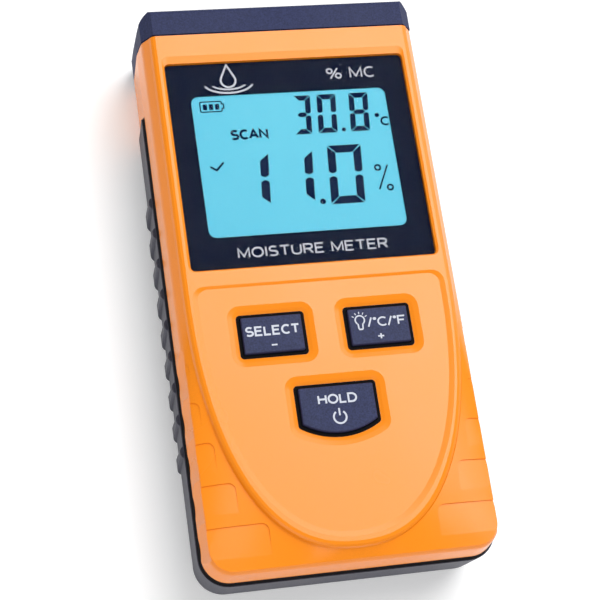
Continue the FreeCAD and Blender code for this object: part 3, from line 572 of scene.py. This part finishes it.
def window_marks():
    """Generic marks printed on the window's border."""
    title = lettering("MOISTURE METER", (0.2, 4.2), height=2.8, width=38.0, pen=0.42)
    unit = lettering("% MC", (16.9, 51.35), height=3.1, width=12.6, pen=0.42)
    drop = [(DROP_X, DROP_TOP)] + ring(DROP_X, DROP_Y, DROP_RADIUS, DROP_RADIUS, 32, -212, 24)
    ripples = [band(DROP_X, RIPPLE_Y, *ripple) for ripple in RIPPLES]
    args = (MASK_TOP, WINDOW_INK, "case", "mask_print")
    plates("window_title", in_window(title), *args)
    plates("window_unit", in_window(unit), *args)
    plates("window_drop", in_window(stroke(drop, DROP_PEN, closed=True)), *args)
    plates("window_ripples", in_window(ripples), *args)


# --------------------------------------------------------------------------- legends on the keys

# Places are in millimetres from the middle of a key
SIGN_Y = -2.8                # plus and minus signs
SIGN_PEN = 0.38
MINUS_HALF = 0.7
PLUS_HALF = (0.75, 0.65)     # half width and half height of the plus
BULB = (-4.7, 1.6)
BULB_RADIUS = 1.15
BULB_PEN = 0.35
NECK = ((-0.6, -0.9), (-0.5, -2.3))       # left side of the neck, from the bulb's middle
BASE = ((-0.5, -2.35), (0.5, -2.35))
BASE_PEN = 0.4
RAY_ANGLES = (30, 60, 90, 120, 150)
RAY = (1.6, 2.15)            # start and end of a ray from the bulb's middle
RAY_PEN = 0.22
POWER_Y = -2.1               # middle of the power symbol's ring
POWER_RADIUS = 1.55
POWER_ARC = (125, 415)       # degrees
POWER_BAR = (0.4, 2.2)       # lower and upper end of its bar, above that middle


def select_legend():
    marks = lettering("SELECT", (0, 0.9), height=2.5, width=13.5, pen=0.48)
    marks += stroke([(-MINUS_HALF, SIGN_Y), (MINUS_HALF, SIGN_Y)], SIGN_PEN)
    return {"select_legend": marks}


def bulb_mark():
    """Light bulb with rays, drawn round its own middle."""
    bulb = stroke(ring(0, 0, BULB_RADIUS, BULB_RADIUS, -50, 230, 22), BULB_PEN)
    for side in (1, -1):
        bulb += stroke([(side * x, y) for x, y in NECK], BULB_PEN)
    bulb += stroke(BASE, BASE_PEN)
    for angle in RAY_ANGLES:
        turn = math.radians(angle)
        bulb += stroke([(reach * math.cos(turn), reach * math.sin(turn)) for reach in RAY], RAY_PEN)
    return bulb


def light_legend():
    wide, high = PLUS_HALF
    plus = stroke([(-wide, SIGN_Y), (wide, SIGN_Y)], SIGN_PEN)
    plus += stroke([(0, SIGN_Y - high), (0, SIGN_Y + high)], SIGN_PEN)
    return {
        "light_bulb": moved(bulb_mark(), *BULB),
        "light_units": lettering("/*C/*F", (1.9, 0.9), height=2.45, width=9.7, pen=0.40, spacing=0.18),
        "light_plus": plus,
    }


def hold_legend():
    power = [band(0, POWER_Y, POWER_RADIUS, POWER_RADIUS, 0.45, *POWER_ARC, 30)]
    power += stroke([(0, POWER_Y + rise) for rise in POWER_BAR], 0.42)
    return {
        "hold_word": lettering("HOLD", (0, 2.5), height=2.45, width=9.7, pen=0.46),
        "hold_power": power,
    }


def key_marks():
    """Legends on the three keys, placed from each key's own box."""
    legends = {"key_select": select_legend(), "key_light": light_legend(), "key_hold": hold_legend()}
    for node, pieces in legends.items():
        low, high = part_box(node)
        x = (low.x + high.x) / 2 / MM
        y = (low.y + high.y) / 2 / MM
        for name, outlines in pieces.items():
            plates(name, moved(outlines, x, y), high.z, LEGEND, BODY_OF[node], "key_plastic")


# --------------------------------------------------------------------------- floor, light, camera

FLOOR_SIZE = 6.0
FLOOR_Z = -0.2 * MM          # just under the meter's back face
WORLD_STRENGTH = 0.30
# Square soft boxes: place, side, radiance
SOFT_BOXES = {
    "overhead_box": ((0.22, 0.32, 0.93), 0.6, 3.8),
    "back_box": ((0.50, 0.46, 0.84), 0.8, 3.2),
    "low_box": ((-0.35, -0.78, 0.70), 0.9, 1.8),
}
# Camera over the meter's face, off to its left and towards its tail, from the face's middle
CAMERA_FROM_FACE = Vector((-0.09879, -0.14475, 0.40382))
CAMERA_LOOK = Vector((0.2138, 0.31427, -0.92495))
CAMERA_UP = Vector((0.07639, 0.93856, 0.33656))
LENS_MM = 108.0
SENSOR_MM = 36.0


def floor():
    """Plain pale floor under the meter."""
    s = Shader("floor")
    pale = s.ramp(s.noise(3.0), (0.91,) * 3, (0.93,) * 3)
    s.feed(pale, "Base Color", "Emission Color")
    s.set(Roughness=0.9, Specular_IOR_Level=0.2, Emission_Strength=0.22)
    bpy.ops.mesh.primitive_plane_add(size=FLOOR_SIZE, location=(0, 0, FLOOR_Z))
    plane = bpy.context.object
    plane.name = "floor"
    plane.data.materials.append(s.material)


def lighting():
    """Soft boxes aimed at the meter, and a pale world behind them."""
    for name, (place, size, radiance) in SOFT_BOXES.items():
        data = bpy.data.lights.new(name, "AREA")
        data.shape = "SQUARE"
        data.size = size
        data.energy = radiance * math.pi * size * size
        light = bpy.data.objects.new(name, data)
        light.location = place
        light.rotation_euler = (-Vector(place)).to_track_quat("-Z", "Y").to_euler()
        bpy.context.scene.collection.objects.link(light)
    world = bpy.data.worlds.new("studio")
    world.use_nodes = True
    background = world.node_tree.nodes["Background"]
    background.inputs["Color"].default_value = (1, 1, 1, 1)
    background.inputs["Strength"].default_value = WORLD_STRENGTH
    bpy.context.scene.world = world


def camera():
    data = bpy.data.cameras.new("camera")
    data.lens = LENS_MM
    data.sensor_width = SENSOR_MM
    data.dof.use_dof = False
    data.clip_start = 0.01
    cam = bpy.data.objects.new("camera", data)
    back = -CAMERA_LOOK.normalized()
    right = CAMERA_UP.cross(back).normalized()
    up = back.cross(right)
    turn = Matrix((right, up, back)).transposed().to_4x4()
    face_middle = Vector((0, 0, CAD_BOUNDS[1][2]))
    cam.matrix_world = Matrix.Translation(face_middle + CAMERA_FROM_FACE) @ turn
    bpy.context.scene.collection.objects.link(cam)
    bpy.context.scene.camera = cam


dress_cad_nodes()
display_marks()
window_marks()
key_marks()
floor()
lighting()
camera()
bpy.context.scene.view_settings.view_transform = "Standard"
